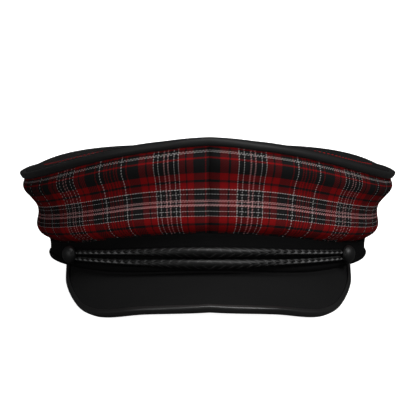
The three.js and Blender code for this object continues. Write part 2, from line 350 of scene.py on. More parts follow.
def shell(outer: Array, inner: Array, ends: bool) -> Array:
    """Joins an outer and an inner face into loops, closed along a middle line at each end if asked.

    Args:
        outer: Stations by rows of the outer face.
        inner: The same rows of the inner face.
        ends: Whether the shell stops at its first and last station.

    Returns:
        Stations by points round the section.
    """
    loops = np.concatenate([outer, inner[:, ::-1]], axis=1)
    if not ends:
        return loops
    middle = (outer + inner) / 2
    caps = np.concatenate([middle, middle[:, ::-1]], axis=1)
    return np.concatenate([caps[:1], loops, caps[-1:]], axis=0)


def shell_uv(face: Array, ends: bool) -> Array:
    """Texture coordinates of a shell, the same on its outer and its inner face.

    Args:
        face: Stations by rows by 2, for the outer face; with no ends, the first station comes again last.
        ends: Whether the shell has an end cap at each side.

    Returns:
        The coordinates for every corner, with the closing column.
    """
    both = np.concatenate([face, face[:, ::-1]], axis=1)
    if ends:
        both = np.concatenate([both[:1], both, both[-1:]], axis=0)
    return np.concatenate([both, both[:, :1]], axis=1)


def set_inputs(node: Node, **values: object) -> None:
    """Sets a node's plain values, each named as its socket is, with _ for a space."""
    for key, value in values.items():
        node.inputs[key.replace("_", " ")].default_value = value


class NodeTree:
    """Short calls for making and joining shader nodes."""

    def __init__(self, tree: bpy.types.NodeTree) -> None:
        """Keeps the tree."""
        self.tree = tree

    def node(self, kind: str, **settings: object) -> Node:
        """Adds a node and sets its properties."""
        made = self.tree.nodes.new(kind)
        for key, value in settings.items():
            setattr(made, key, value)
        return made

    def link(self, source: Socket, target: Socket) -> None:
        """Joins two sockets."""
        self.tree.links.new(source, target)

    def feed(self, socket: Socket, value: object) -> None:
        """Joins a socket to another one, or sets its plain value."""
        if isinstance(value, Socket):
            self.link(value, socket)
        else:
            socket.default_value = value

    def maths(self, operation: str, *values: object) -> Socket:
        """A Math node on up to three values or sockets."""
        made = self.node("ShaderNodeMath", operation=operation)
        for socket, value in zip(made.inputs, values):
            self.feed(socket, value)
        return made.outputs[0]

    def mix(self, share: object, first: object, second: object) -> Socket:
        """A colour between two colours."""
        made = self.node("ShaderNodeMix", data_type="RGBA")
        colours = [socket for socket in made.inputs if socket.type == "RGBA"]
        for socket, value in zip((made.inputs[0], *colours), (share, first, second)):
            self.feed(socket, value)
        return next(socket for socket in made.outputs if socket.type == "RGBA")

    def scaled(self, colour: Socket, level: Socket) -> Socket:
        """A colour made lighter or darker by a level."""
        made = self.node("ShaderNodeVectorMath", operation="SCALE")
        self.link(colour, made.inputs[0])
        self.link(level, made.inputs["Scale"])
        return made.outputs["Vector"]

    def remap(self, value: object, old: tuple[object, object], new: Pair) -> Socket:
        """A value taken from an old range to a new one, and kept inside it."""
        made = self.node("ShaderNodeMapRange")
        for socket, entry in zip(made.inputs, (value, *old, *new)):
            self.feed(socket, entry)
        return made.outputs["Result"]

    def noise(self, vector: Socket, look: Noise) -> Socket:
        """Smooth noise of a scale, detail and roughness."""
        made = self.node("ShaderNodeTexNoise")
        self.link(vector, made.inputs["Vector"])
        set_inputs(made, Scale=look[0], Detail=look[1], Roughness=look[2])
        return made.outputs["Fac"]

    def steps(self, value: object, stops: Sequence[tuple[float, Colour]]) -> Socket:
        """A colour ramp that changes sharply at each stop."""
        made = self.node("ShaderNodeValToRGB")
        band = made.color_ramp
        band.interpolation = "CONSTANT"
        while len(band.elements) < len(stops):
            band.elements.new(1.0)
        for element, (place, colour) in zip(band.elements, stops):
            element.position = place
            element.color = colour
        self.feed(made.inputs["Fac"], value)
        return made.outputs["Color"]

    def split(self, vector: Socket) -> bpy.types.NodeOutputs:
        """The X, Y and Z of a vector."""
        made = self.node("ShaderNodeSeparateXYZ")
        self.link(vector, made.inputs[0])
        return made.outputs

    def uv(self, name: str) -> Socket:
        """A named set of texture coordinates."""
        return self.node("ShaderNodeUVMap", uv_map=name).outputs["UV"]

    def position(self) -> Socket:
        """The place on the piece, in metres."""
        return self.node("ShaderNodeTexCoord").outputs["Object"]


class Effect(Enum):
    """Shader groups that more than one material uses."""

    TWILL = "twill_weave"
    GRAIN = "leather_grain"
    PATCHES = "handling_patches"
    FUZZ = "cloth_fuzz"


@dataclass
class EffectLibrary:
    """Builds each shared effect once, and places it in materials."""

    yarn_change: Pair = (0.23, 0.27)
    rib_height: float = 0.35
    thread_height: float = 0.15
    pebble_edge: Pair = (0.0, 0.22)
    pebble_noise: Noise = (260.0, 2.0, 0.5)
    patch_noise: Noise = (28.0, 4.0, 0.55)
    fibre_noise: Noise = (2600.0, 5.0, 0.7)

    def __post_init__(self) -> None:
        """Builds every effect."""
        self.groups: dict[Effect, Group] = {
            Effect.TWILL: self._twill(),
            Effect.GRAIN: self._grain(),
            Effect.PATCHES: self._patches(),
            Effect.FUZZ: self._fuzz(),
        }

    @staticmethod
    def _open(
        effect: Effect, inputs: Sequence[str], outputs: Sequence[str],
    ) -> tuple[NodeTree, bpy.types.NodeOutputs, bpy.types.NodeInputs]:
        """Starts a group with its sockets: a vector, and plain values that whoever places it gives.

        Args:
            effect: Which effect it is.
            inputs: Names of the values that it takes in beside the vector.
            outputs: Names of the values that it puts out.

        Returns:
            The tree, the sockets that bring values in, and the sockets that take them out.
        """
        group = bpy.data.node_groups.new(effect.value, "ShaderNodeTree")
        group.interface.new_socket(name="Vector", in_out="INPUT", socket_type="NodeSocketVector")
        for way, names in (("INPUT", inputs), ("OUTPUT", outputs)):
            for name in names:
                group.interface.new_socket(name=name, in_out=way, socket_type="NodeSocketFloat")
        tree = NodeTree(group)
        return tree, tree.node("NodeGroupInput").outputs, tree.node("NodeGroupOutput").inputs

    def _twill(self) -> Group:
        """Diagonal weave: which yarn lies on top, and the height of the ribs."""
        tree, inside, outside = self._open(Effect.TWILL, ("Pitch",), ("Warp", "Height"))
        place = tree.split(inside["Vector"])
        across, up = (tree.maths("DIVIDE", place[axis], inside["Pitch"]) for axis in "XY")
        diagonal = tree.maths("FRACT", tree.maths("SUBTRACT", across, up))
        top = tree.maths("PINGPONG", diagonal, 0.5)
        tree.link(tree.remap(top, self.yarn_change, WHOLE), outside["Warp"])
        rib = tree.maths("SINE", tree.maths("MULTIPLY", diagonal, 2 * FULL_TURN))
        crossing = tree.maths("MULTIPLY", tree.maths("ADD", across, up), 2 * FULL_TURN)
        thread = tree.maths("MULTIPLY", tree.maths("SINE", crossing), self.thread_height)
        height = tree.maths("MULTIPLY_ADD", rib, self.rib_height, thread)
        tree.link(tree.maths("ADD", height, 0.5), outside["Height"])
        return tree.tree

    def _grain(self) -> Group:
        """Fine leather grain: the height of its pebbles, and a mask of the creases between them."""
        tree, inside, outside = self._open(Effect.GRAIN, ("Scale",), ("Height", "Creases"))
        cells = tree.node("ShaderNodeTexVoronoi", feature="DISTANCE_TO_EDGE")
        for name in ("Vector", "Scale"):
            tree.link(inside[name], cells.inputs[name])
        pebble = tree.remap(cells.outputs["Distance"], self.pebble_edge, WHOLE)
        soft = tree.maths("ADD", tree.noise(inside["Vector"], self.pebble_noise), 0.5)
        tree.link(tree.maths("MULTIPLY", pebble, soft), outside["Height"])
        tree.link(tree.maths("SUBTRACT", 1.0, pebble), outside["Creases"])
        return tree.tree

    def _patches(self) -> Group:
        """Broad uneven patches, as handling and wear leave."""
        tree, inside, outside = self._open(Effect.PATCHES, ("Low", "High"), ("Mask",))
        broad = tree.noise(inside["Vector"], self.patch_noise)
        tree.link(tree.remap(broad, (inside["Low"], inside["High"]), WHOLE), outside["Mask"])
        return tree.tree

    def _fuzz(self) -> Group:
        """Fine fibres that stand up from woven cloth and yarn."""
        tree, inside, outside = self._open(Effect.FUZZ, (), ("Fibre",))
        tree.link(tree.noise(inside["Vector"], self.fibre_noise), outside["Fibre"])
        return tree.tree

    def put(self, tree: NodeTree, effect: Effect, vector: Socket, **values: float) -> bpy.types.NodeOutputs:
        """Places an effect in a material.

        Args:
            tree: The material's nodes.
            effect: Which effect.
            vector: The coordinates that it runs on.
            values: Its other inputs.

        Returns:
            What the effect puts out.
        """
        made = tree.node("ShaderNodeGroup", node_tree=self.groups[effect])
        tree.link(vector, made.inputs["Vector"])
        set_inputs(made, **values)
        return made.outputs


class Surface(NamedTuple):
    """What a finish feeds the surface shader: its colour, its roughness, and a height map from 0 to 1."""

    colour: Socket
    rough: Socket | float
    height: Socket


@dataclass(frozen=True)
class Finish:
    """What every finish has: a name, the shared effects, its gloss, and how much its height map shows.

    The relief is a share of the full height, and the full height in millimetres.
    """

    name: str
    effects: EffectLibrary
    specular: float
    relief: Pair

    def surface(self, tree: NodeTree) -> Surface:
        """Lays out the finish's own nodes."""
        raise NotImplementedError(self.name)

    def material(self) -> Material:
        """A new material with this finish."""
        material = bpy.data.materials.new(self.name)
        material.use_nodes = True
        tree = NodeTree(material.node_tree)
        shader = material.node_tree.nodes["Principled BSDF"]
        surface = self.surface(tree)
        raised = tree.node("ShaderNodeBump")
        set_inputs(raised, Strength=self.relief[0], Distance=self.relief[1] * MM)
        set_inputs(shader, Specular_IOR_Level=self.specular)
        tree.link(surface.colour, shader.inputs["Base Color"])
        tree.feed(shader.inputs["Roughness"], surface.rough)
        tree.link(surface.height, raised.inputs["Height"])
        tree.link(raised.outputs["Normal"], shader.inputs["Normal"])
        return material

    def fibre(self, tree: NodeTree) -> Socket:
        """How far the fine fibres stand up."""
        return self.effects.put(tree, Effect.FUZZ, tree.position())["Fibre"]

    def patches(self, tree: NodeTree, ends: Pair) -> Socket:
        """A mask of broad uneven patches, 0 and 1 at the given ends of their noise."""
        return self.effects.put(tree, Effect.PATCHES, tree.position(), Low=ends[0], High=ends[1])["Mask"]


class Yarn(Enum):
    """Colours of the tartan's yarns. The sunk ones lie half hidden among black yarns."""

    BLACK = (0.0095, 0.0095, 0.0097, 1.0)
    RED = (0.185, 0.0058, 0.0066, 1.0)
    WHITE = (0.50, 0.49, 0.485, 1.0)
    PINK = (0.44, 0.24, 0.24, 1.0)
    SUNK_WHITE = (0.31, 0.30, 0.295, 1.0)
    SUNK_PINK = (0.30, 0.15, 0.15, 1.0)


Stripe = tuple[float, Yarn]

# Stripes from the middle of the group round the pink lines to the middle of the thin red group, with the
# degree where each ends. They run out and back again all round the wall.
WARP_SETT: tuple[Stripe, ...] = (
    (0.40, Yarn.BLACK), (0.80, Yarn.SUNK_PINK), (2.34, Yarn.BLACK), (2.60, Yarn.SUNK_WHITE),
    (3.77, Yarn.BLACK), (4.03, Yarn.SUNK_WHITE), (6.00, Yarn.RED), (6.55, Yarn.BLACK), (8.70, Yarn.RED),
    (12.40, Yarn.BLACK), (12.85, Yarn.RED), (14.10, Yarn.BLACK), (14.38, Yarn.SUNK_WHITE),
    (15.67, Yarn.BLACK), (16.15, Yarn.RED), (16.62, Yarn.BLACK), (17.07, Yarn.RED), (17.87, Yarn.BLACK),
    (18.12, Yarn.RED),
)

# Degrees in the pattern from the front seam to the middle of the first group round the pink lines.
WARP_FIRST_GROUP = 12.95

# Stripes up the wall, with the share of its height where each ends. The first black stripe, at the wall's
# foot, is painted shade where the cloth turns in at the band.
WEFT_SETT: tuple[Stripe, ...] = (
    (0.012, Yarn.BLACK), (0.092, Yarn.RED), (0.119, Yarn.BLACK), (0.196, Yarn.RED), (0.202, Yarn.WHITE),
    (0.252, Yarn.BLACK), (0.257, Yarn.WHITE), (0.312, Yarn.BLACK), (0.321, Yarn.PINK), (0.328, Yarn.BLACK),
    (0.335, Yarn.PINK), (0.357, Yarn.BLACK), (0.365, Yarn.PINK), (0.372, Yarn.BLACK), (0.380, Yarn.PINK),
    (0.442, Yarn.BLACK), (0.447, Yarn.WHITE), (0.498, Yarn.BLACK), (0.504, Yarn.WHITE), (0.584, Yarn.RED),
    (0.616, Yarn.BLACK), (0.696, Yarn.RED), (0.864, Yarn.BLACK), (0.884, Yarn.RED), (0.935, Yarn.BLACK),
    (0.942, Yarn.SUNK_WHITE), (0.952, Yarn.BLACK), (0.959, Yarn.SUNK_WHITE), (0.985, Yarn.BLACK),
    (1.0, Yarn.RED),
)


@dataclass(frozen=True)
class TartanLay:
    """How the woven pattern lies on each panel: cut places, spread by the folds, and droop to the sides.

    A row of a cut is a place on the panel and the same place in the pattern, in degrees from the front seam.
    """

    left_cut: Table = ((0, 1.45), (13.05, 12.95), (31.22, 31.07), (49.53, 49.2), (68, 67.3), (190, 188.1))
    right_cut: Table = ((0, -0.95), (12.85, 12.95), (30.69, 31.07), (48.87, 49.2), (66.6, 67.3), (190, 190.7))
    spread: Table = (
        (0, 0.975), (0.055, 0.979), (0.155, 0.986), (0.295, 1.0), (0.42, 1.009),
        (0.555, 1.0165), (0.655, 1.0055), (0.77, 1.0), (0.91, 0.989), (1.0, 0.984),
    )
    spread_by_degree: Table = ((0, 1), (85, 1), (120, 0.55), (150, 0.2), (180, 0))
    droop_by_height: Table = (
        (0, 0), (0.1, 0.35), (0.25, 0.7), (0.45, 1), (0.6, 0.85), (0.7, 0.6), (0.875, 0.2), (1, 0),
    )
    droop_by_degree: Table = (
        (0, 0), (12, 0.018), (24, 0.028), (39, 0.028), (60, 0.046), (80, 0.05), (180, 0.05),
    )

    def places(self, side: int, degrees: Array, up: Array) -> Array:
        """Where each point of a panel lies in the pattern.

        Args:
            side: 1 for the wearer's left panel, -1 for the right.
            degrees: Degrees from the front seam.
            up: Share of the wall's height.

        Returns:
            Degrees along the warp's sett, and the share along the weft's.
        """
        rows = self.left_cut if side > 0 else self.right_cut
        spread = 1 / read_table(self.spread, 1, up) - 1
        warp = read_table(rows, 1, degrees * (1 + spread * read_table(self.spread_by_degree, 1, degrees)))
        droop = read_table(self.droop_by_height, 1, up) * read_table(self.droop_by_degree, 1, degrees)
        return np.stack([warp, up - droop], axis=-1)


@dataclass(frozen=True)
class TartanFinish(Finish):
    """Red, black and white twill, with warp and weft crossing yarn by yarn."""

    twill_pitch: float = 1.62
    tone_power: float = 2.2
    warp_share: float = 0.42
    pale_yarn: Pair = (0.25, 0.45)
    contrast: Pair = (0.3, 1.1)
    fibre_shade: Pair = (0.82, 1.15)
    fade_ends: Pair = (0.3, 0.75)
    fade_shade: Pair = (0.94, 1.05)
    roughness: float = 0.95
    specular: float = 0.02
    fibre_height: float = 0.5
    relief: Pair = (0.4, 0.1)

    def stops(self, sett: Sequence[Stripe]) -> list[tuple[float, Colour]]:
        """Each stripe's start, as a share of the whole sett, and its colour on an even scale of tones."""
        starts = [0.0] + [end / sett[-1][0] for end, _ in sett[:-1]]
        return [
            (start, tuple(level ** (1 / self.tone_power) for level in yarn.value))
            for start, (_, yarn) in zip(starts, sett)
        ]

    @staticmethod
    def green(tree: NodeTree, colour: Socket) -> Socket:
        """The green part of a colour, which only the white and the pink yarns have much of."""
        split = tree.node("ShaderNodeSeparateColor")
        tree.link(colour, split.inputs[0])
        return split.outputs["Green"]

    def surface(self, tree: NodeTree) -> Surface:
        """Crosses the two setts, and fades and roughens the cloth a little."""
        sett = tree.split(tree.uv("sett"))
        half_repeat = WARP_SETT[-1][0]
        folded = tree.maths("PINGPONG", tree.maths("SUBTRACT", sett["X"], WARP_FIRST_GROUP), half_repeat)
        warp = tree.steps(tree.maths("DIVIDE", folded, half_repeat), self.stops(WARP_SETT))
        weft = tree.steps(sett["Y"], self.stops(WEFT_SETT))
        twill = self.effects.put(tree, Effect.TWILL, tree.uv("weave"), Pitch=self.twill_pitch)
        light = tree.maths("MAXIMUM", self.green(tree, warp), self.green(tree, weft))
        contrast = tree.remap(light, self.pale_yarn, self.contrast)
        share = tree.maths("SUBTRACT", twill["Warp"], 0.5)
        share = tree.maths("MULTIPLY_ADD", share, contrast, self.warp_share)
        woven = tree.node("ShaderNodeGamma")
        tree.link(tree.mix(share, weft, warp), woven.inputs["Color"])
        set_inputs(woven, Gamma=self.tone_power)
        fibre = self.fibre(tree)
        shade = tree.remap(fibre, NOISE_SPAN, self.fibre_shade)
        faded = tree.remap(self.patches(tree, self.fade_ends), WHOLE, self.fade_shade)
        colour = tree.scaled(woven.outputs[0], tree.maths("MULTIPLY", shade, faded))
        height = tree.maths("MULTIPLY_ADD", fibre, self.fibre_height, twill["Height"])
        return Surface(colour, self.roughness, height)


@dataclass(frozen=True)
class BlackClothFinish(Finish):
    """Plain black wool cloth in a fine twill, with a highlight painted on the rib crests."""

    colour: Colour = (0.0075, 0.0075, 0.0076, 1.0)
    # Painted highlight: the rib crests take the lighter rib colour, and the grooves between them take the
    # darker colour.
    rib_highlight_colour: Colour = (0.0125, 0.0125, 0.0126, 1.0)
    pitch: float = 0.7
    specular: float = 0.035
    fibre_shade: Pair = (0.4, 1.4)
    wear_ends: Pair = (0.35, 0.7)
    rough: Pair = (0.58, 0.7)
    fibre_height: float = 0.6
    relief: Pair = (0.3, 0.05)

    def surface(self, tree: NodeTree) -> Surface:
        """Paints a highlight on the rib crests, lighter than the grooves and varied by the fibres, and wears
        the cloth in patches.
        """
        twill = self.effects.put(tree, Effect.TWILL, tree.uv("weave"), Pitch=self.pitch)
        fibre = self.fibre(tree)
        # Painted highlight and shade: lighter on the twill's raised ribs, darker in its grooves.
        share = tree.maths("MULTIPLY", twill["Height"], tree.remap(fibre, NOISE_SPAN, self.fibre_shade))
        rough = tree.remap(self.patches(tree, self.wear_ends), WHOLE, self.rough)
        height = tree.maths("MULTIPLY_ADD", fibre, self.fibre_height, twill["Height"])
        return Surface(tree.mix(share, self.colour, self.rib_highlight_colour), rough, height)


@dataclass(frozen=True)
class LeatherFinish(Finish):
    """Smooth black leather with a fine grain, and lighter where it is rubbed."""

    colour: Colour = (0.010, 0.010, 0.0101, 1.0)
    rubbed: Colour = (0.016, 0.016, 0.016, 1.0)
    rub_ends: Pair = (0.35, 0.7)
    rub_share: Pair = (0.0, 0.4)
    rough: Pair = (0.42, 0.54)
    crease_rough: float = 0.06
    specular: float = 0.15
    grain_scale: float = 1100.0
    relief: Pair = (0.3, 0.02)

    def surface(self, tree: NodeTree) -> Surface:
        """Rubs the leather in patches, and raises its grain."""
        grain = self.effects.put(tree, Effect.GRAIN, tree.position(), Scale=self.grain_scale)
        patches = self.patches(tree, self.rub_ends)
        colour = tree.mix(tree.remap(patches, WHOLE, self.rub_share), self.colour, self.rubbed)
        rough = tree.remap(patches, WHOLE, self.rough)
        rough = tree.maths("MULTIPLY_ADD", grain["Creases"], self.crease_rough, rough)
        return Surface(colour, rough, grain["Height"])


@dataclass(frozen=True)
class YarnFinish(Finish):
    """Dyed yarn of plaits and stitches, with glints painted along the strands' edges and a highlight painted
    on the tips where they cross.

    The piece's texture coordinates hold the strength of the painted tip highlight in X, and in Y how far
    inside the strand's edge a point lies: 0 at the edge, where the glint is painted, and 1 along the strand's
    middle.
    """

    colour: Colour = (0.002, 0.002, 0.002, 1.0)
    # Painted highlights: the edge colour is a glint painted along each strand's edges, and the tip colour is a
    # highlight painted on the tips.
    edge_glint_colour: Colour = (0.1, 0.1, 0.1, 1.0)
    tip_highlight_colour: Colour = (0.1, 0.1, 0.101, 1.0)
    edge_reach: Pair = (0.015, 0.1)
    rough: Pair = (0.38, 0.5)
    specular: float = 0.26
    filaments: float = 4.0
    fibre_height: float = 0.4
    relief: Pair = (0.15, 0.02)

    def surface(self, tree: NodeTree) -> Surface:
        """Paints highlights on the strands' edges and tips, and raises the filaments along each strand."""
        strand = tree.split(tree.uv("weave"))
        turns = tree.maths("MULTIPLY", strand["Y"], FULL_TURN * self.filaments)
        filament = tree.maths("MULTIPLY_ADD", tree.maths("SINE", turns), 0.5, 0.5)
        # Painted glint along each strand's edges, and below, a highlight painted on the tips that the map's X
        # marks.
        edge = tree.remap(strand["Y"], self.edge_reach, (1.0, 0.0))
        fibre = self.fibre(tree)
        body = tree.mix(strand["X"], self.colour, self.tip_highlight_colour)
        rough = tree.remap(fibre, NOISE_SPAN, self.rough)
        height = tree.maths("MULTIPLY_ADD", fibre, self.fibre_height, filament)
        return Surface(tree.mix(edge, body, self.edge_glint_colour), rough, height)


@dataclass(frozen=True)
class EnamelFinish(Finish):
    """Black enamel of the buttons, softly shiny, with fine scuffs."""

    colour: Colour = (0.005, 0.005, 0.0051, 1.0)
    scuffed: Colour = (0.018, 0.018, 0.018, 1.0)
    scuff_noise: Noise = (900.0, 6.0, 0.75)
    scuff_ends: Pair = (0.4, 0.7)
    scuff_depth: Pair = (0.5, 0.7)
    scuff_share: Pair = (0.0, 0.5)
    rough: Pair = (0.4, 0.5)
    specular: float = 0.35
    relief: Pair = (0.12, 0.02)

    def surface(self, tree: NodeTree) -> Surface:
        """Scuffs the enamel where it is handled."""
        patches = self.patches(tree, self.scuff_ends)
        scratch = tree.noise(tree.position(), self.scuff_noise)
        worn = tree.remap(scratch, self.scuff_depth, self.scuff_share)
        colour = tree.mix(tree.maths("MULTIPLY", patches, worn), self.colour, self.scuffed)
        return Surface(colour, tree.remap(scratch, NOISE_SPAN, self.rough), scratch)


@dataclass
class CapPart:
    """What every part of the cap has: the form that it follows, and its way onto the table."""

    form: CapForm

    def add(self, name: str, slot: str, node: str, material: Material, points: Array, **loft: object) -> None:
        """Lofts a piece, lays it on the table and hands it over.

        Args:
            name: The piece's name.
            slot: The slot of its finish; not used.
            node: The solid that it stands for.
            material: Its finish.
            points: The loops of its surface, in the cap's own frame.
            loft: How the surface closes, and its texture coordinates.
        """
        hand_over(Loft(self.form.place(points), **loft).build(name, material), slot, node)


@dataclass
class SideWall(CapPart):
    """The tartan side wall: two panels that meet at the front and back seams.

    A fold is a share of the wall's height and how far it stands outside the band's face. A ripple is how fast
    its wave runs round the head and up the wall, where it starts, and its size.
    """

    finish: TartanFinish
    lay: TartanLay = TartanLay()
    stations: int = 320
    rows: int = 64
    folds: Table = (
        (0.0, -1.2), (0.035, 2.2), (0.09, 5.3), (0.16, 7.0), (0.25, 7.6), (0.42, 6.9),
        (0.56, 7.8), (0.69, 11.2), (0.79, 14.2), (0.88, 15.3), (1.0, 14.3),
    )
    tucked: Pair = (-0.03, 1.035)
    wrinkle: float = 0.22
    ripples: Table = ((7, 3.1, 0.6, 0.6), (13, -5.0, 1.9, 0.35), (23, 9.0, 4.2, 0.2))
    held_power: float = 0.7
    seam_hold: float = 0.12
    seam_gap: float = 0.02
    crowding: float = 0.55
    slope_step: float = 1e-3
    weave_stretch: Pair = (1.08, 1.15)

    def ripple(self, angle: Array, up: Array) -> Array:
        """Slack of the cloth: long shallow ripples that die out at the seams, the band and the piping."""
        held = np.sin(HALF_TURN * np.clip(up, 0, 1)) ** self.held_power
        slack = sum(
            size * np.sin(waves * angle + rise * up + start) for waves, rise, start, size in self.ripples
        )
        away = 1 - np.exp(-((from_seam(angle) / self.seam_hold) ** 2))
        return self.wrinkle * held * slack * away

    def face(self, angle: Array, up: Array) -> Array:
        """Outer face of the wall in the cap's frame.

        Args:
            angle: Radians from the front.
            up: Share of the wall's height, a little beyond 0 and 1 where the cloth is tucked in.

        Returns:
            Points of the face.
        """
        foot = self.form.band_top(angle) + self.form.clearance
        out = read_table(self.folds, 1, up) - self.form.dent(angle) + self.ripple(angle, up)
        return self.form.round_head(angle, out, foot + up * (self.form.rim(angle) - foot))

    def panel(self, name: str, side: int, material: Material, node: str) -> None:
        """Makes one half of the wall.

        Args:
            name: The piece's name.
            side: 1 for the wearer's left, -1 for the right.
            material: The tartan.
            node: The solid that it stands for.
        """
        gap = self.seam_gap / self.form.band_half_depth
        share = np.linspace(0, 1, self.stations)
        eased = share - np.sin(FULL_TURN * share) / FULL_TURN * self.crowding
        angle = side * (gap + (HALF_TURN - 2 * gap) * eased)[:, None]
        up = np.linspace(*self.tucked, self.rows)[None, :]
        outer = self.face(angle, up)
        run = unit(self.face(angle, up + self.slope_step) - self.face(angle, up - self.slope_step))
        out = radial(angle)
        inward = unit(run * np.sum(run * out, axis=-1, keepdims=True) - out)
        places = self.lay.places(side, np.degrees(np.abs(angle)) + 0 * up, np.clip(up + 0 * angle, 0, 1))
        wide, tall = self.weave_stretch
        around = self.form.around(angle) * wide + 0 * up
        height = (self.form.rim(angle) - self.form.band_top(angle)) * tall
        maps = {"sett": places, "weave": np.stack([around, up * height], axis=-1)}
        maps = {key: shell_uv(face, True) for key, face in maps.items()}
        loops = shell(outer, outer + inward * self.form.cloth, True)
        self.add(name, "tartan_cloth", node, material, loops, uv_maps=maps)

    def build(self) -> None:
        """Makes both panels."""
        material = self.finish.material()
        self.panel("tartan_panel_right", -1, material, "side_panel_right")
        self.panel("tartan_panel_left", 1, material, "side_panel_left")


@dataclass
class CrownTop(CapPart):
    """The domed black top panel and the red stitching line inside its edge."""

    cloth: BlackClothFinish
    thread: YarnFinish
    stations: int = 300
    rings: int = 64
    ring_crowding: float = 1.4
    tucked: float = 1.013
    gathers: int = 96
    pucker: float = 0.05
    pucker_reach: float = 0.035
    stitch_end_deg: float = 72.0
    stitch_places: Table = (
        (0, 0.9), (30, 0.9), (38, 0.925), (46, 0.95), (57, 0.951), (69, 0.945), (90, 0.94),
    )
    stitch_length: float = 2.4
    stitch_gap: float = 0.5
    stitch_radius: float = 0.24
    stitch_end_share: float = 0.45
    stitch_rise: float = 1.3
    stitch_sink: float = 0.7
    stitch_sides: int = 6
    stitch_steps: int = 6
    line_points: int = 2001

    def face(self, angle: Array, share: Array) -> Array:
        """Outer face of the top panel, share 0 at the middle and 1 at the edge."""
        form = self.form
        inside = np.minimum(share, 1.0)
        near_edge = np.exp(-(((1 - share) / self.pucker_reach) ** 2))
        gathers = np.sin(self.gathers * angle) * self.pucker * near_edge
        edge_out = form.piping_out - form.piping_radius - form.clearance
        rim = form.round_head(angle, edge_out, form.top_height(angle, inside) + gathers)
        rim[..., :2] *= (share + 0 * angle)[..., None]
        return rim

    def panel(self) -> None:
        """Makes the panel."""
        angle = np.linspace(-HALF_TURN, HALF_TURN, self.stations + 1)[:, None]
        share = (1 - np.linspace(0, 1, self.rings) ** self.ring_crowding)[None, :]
        share = np.concatenate([[[self.tucked]], share], axis=1)
        outer = self.face(angle, share)
        loops = shell(outer, outer - UP * self.form.cloth, False)[:-1]
        maps = {"weave": shell_uv(outer[..., :2], False)}
        cloth = self.cloth.material()
        self.add("crown_top_panel", "black_cloth", "crown_top", cloth, loops, closed_along=True, uv_maps=maps)

    def stitch_line(self) -> tuple[Array, Array]:
        """The line that the stitches follow, and the length along it."""
        degrees = np.linspace(-self.stitch_end_deg, self.stitch_end_deg, self.line_points)
        line = self.face(np.radians(degrees), read_table(self.stitch_places, 1, np.abs(degrees)))
        steps = np.linalg.norm(np.diff(line, axis=0), axis=1)
        return line, np.concatenate([[0], np.cumsum(steps)])

    def stitches(self) -> None:
        """Makes the red stitching line, each stitch a short bowed length of thread."""
        line, along = self.stitch_line()
        count = int(along[-1] // (self.stitch_length + self.stitch_gap))
        ring, steps = self.stitch_sides, self.stitch_steps
        bow = np.sin(np.linspace(0, HALF_TURN, steps))
        radius = self.stitch_radius * (self.stitch_end_share + (1 - self.stitch_end_share) * bow)
        verts: list[Array] = []
        faces: list[list[int]] = []
        for k in range(count):
            at = k * along[-1] / count + np.linspace(0, self.stitch_length, steps)
            centre = np.stack([np.interp(at, along, line[:, axis]) for axis in range(3)], axis=1)
            centre[:, 2] += self.stitch_radius * (bow * self.stitch_rise - self.stitch_sink)
            ways = spokes(ring_turns(ring), unit(np.cross(centre[-1] - centre[0], UP)), UP)
            verts.append((centre[:, None] + radius[:, None, None] * ways).reshape(-1, 3))
            first = k * ring * steps
            for s in range(steps - 1):
                for t in range(ring):
                    a, b = first + s * ring + t, first + s * ring + (t + 1) % ring
                    faces.append([a, b, b + ring, a + ring])
            faces.append([first + t for t in range(ring)][::-1])
            faces.append([first + (steps - 1) * ring + t for t in range(ring)])
        mesh = bpy.data.meshes.new("crown_stitching")
        mesh.from_pydata(self.form.place(np.concatenate(verts)).tolist(), [], faces)
        layer = mesh.uv_layers.new(name="weave")
        layer.data.foreach_set("uv", np.ones(len(layer.data) * 2, np.float32))
        hand_over(finish_mesh("crown_stitching", mesh, self.thread.material()), "tartan_cloth")

    def build(self) -> None:
        """Makes the panel and its stitching."""
        self.panel()
        self.stitches()


@dataclass
class Piping(CapPart):
    """The leather cord that edges the top panel."""

    finish: LeatherFinish
    stations: int = 360
    sides: int = 36
    ripple: float = 0.03
    ripple_waves: tuple[int, int] = (61, 17)
    side_power: int = 8
    side_section: Table = (
        (-180, 1.0), (-135, 1.0), (-90, 1.0), (-65, 0.98), (-45, 0.86), (-22, 0.86), (0, 0.96),
        (8, 1.04), (16, 0.9), (40, 0.68), (70, 0.6), (110, 0.62), (150, 0.85), (180, 1.0),
    )

    def section(self, angle: Array, turn: Array) -> Array:
        """Radius of the piping: round at the front and back, and squeezed to an edge at the sides."""
        squeezed = read_table(self.side_section, 1, (np.degrees(turn) + 180) % 360 - 180)
        share = (np.sin(angle) ** self.side_power)[:, None]
        fine, broad = self.ripple_waves
        wear = self.ripple * (1 + np.sin(fine * angle) * np.sin(broad * angle))
        return (self.form.piping_radius - wear[:, None]) * (1 + share * (squeezed - 1)[None])

    def build(self) -> None:
        """Makes the piping."""
        angle = ring_turns(self.stations, -HALF_TURN)
        turn = ring_turns(self.sides)
        centre = self.form.round_head(angle, self.form.piping_out, self.form.piping_height(angle))
        ring = spokes(turn[None], radial(angle)[:, None], UP)
        points = centre[:, None] + self.section(angle, turn)[..., None] * ring
        leather = self.finish.material()
        self.add("rim_piping", "black_leather", "crown_piping", leather, points, closed_along=True)


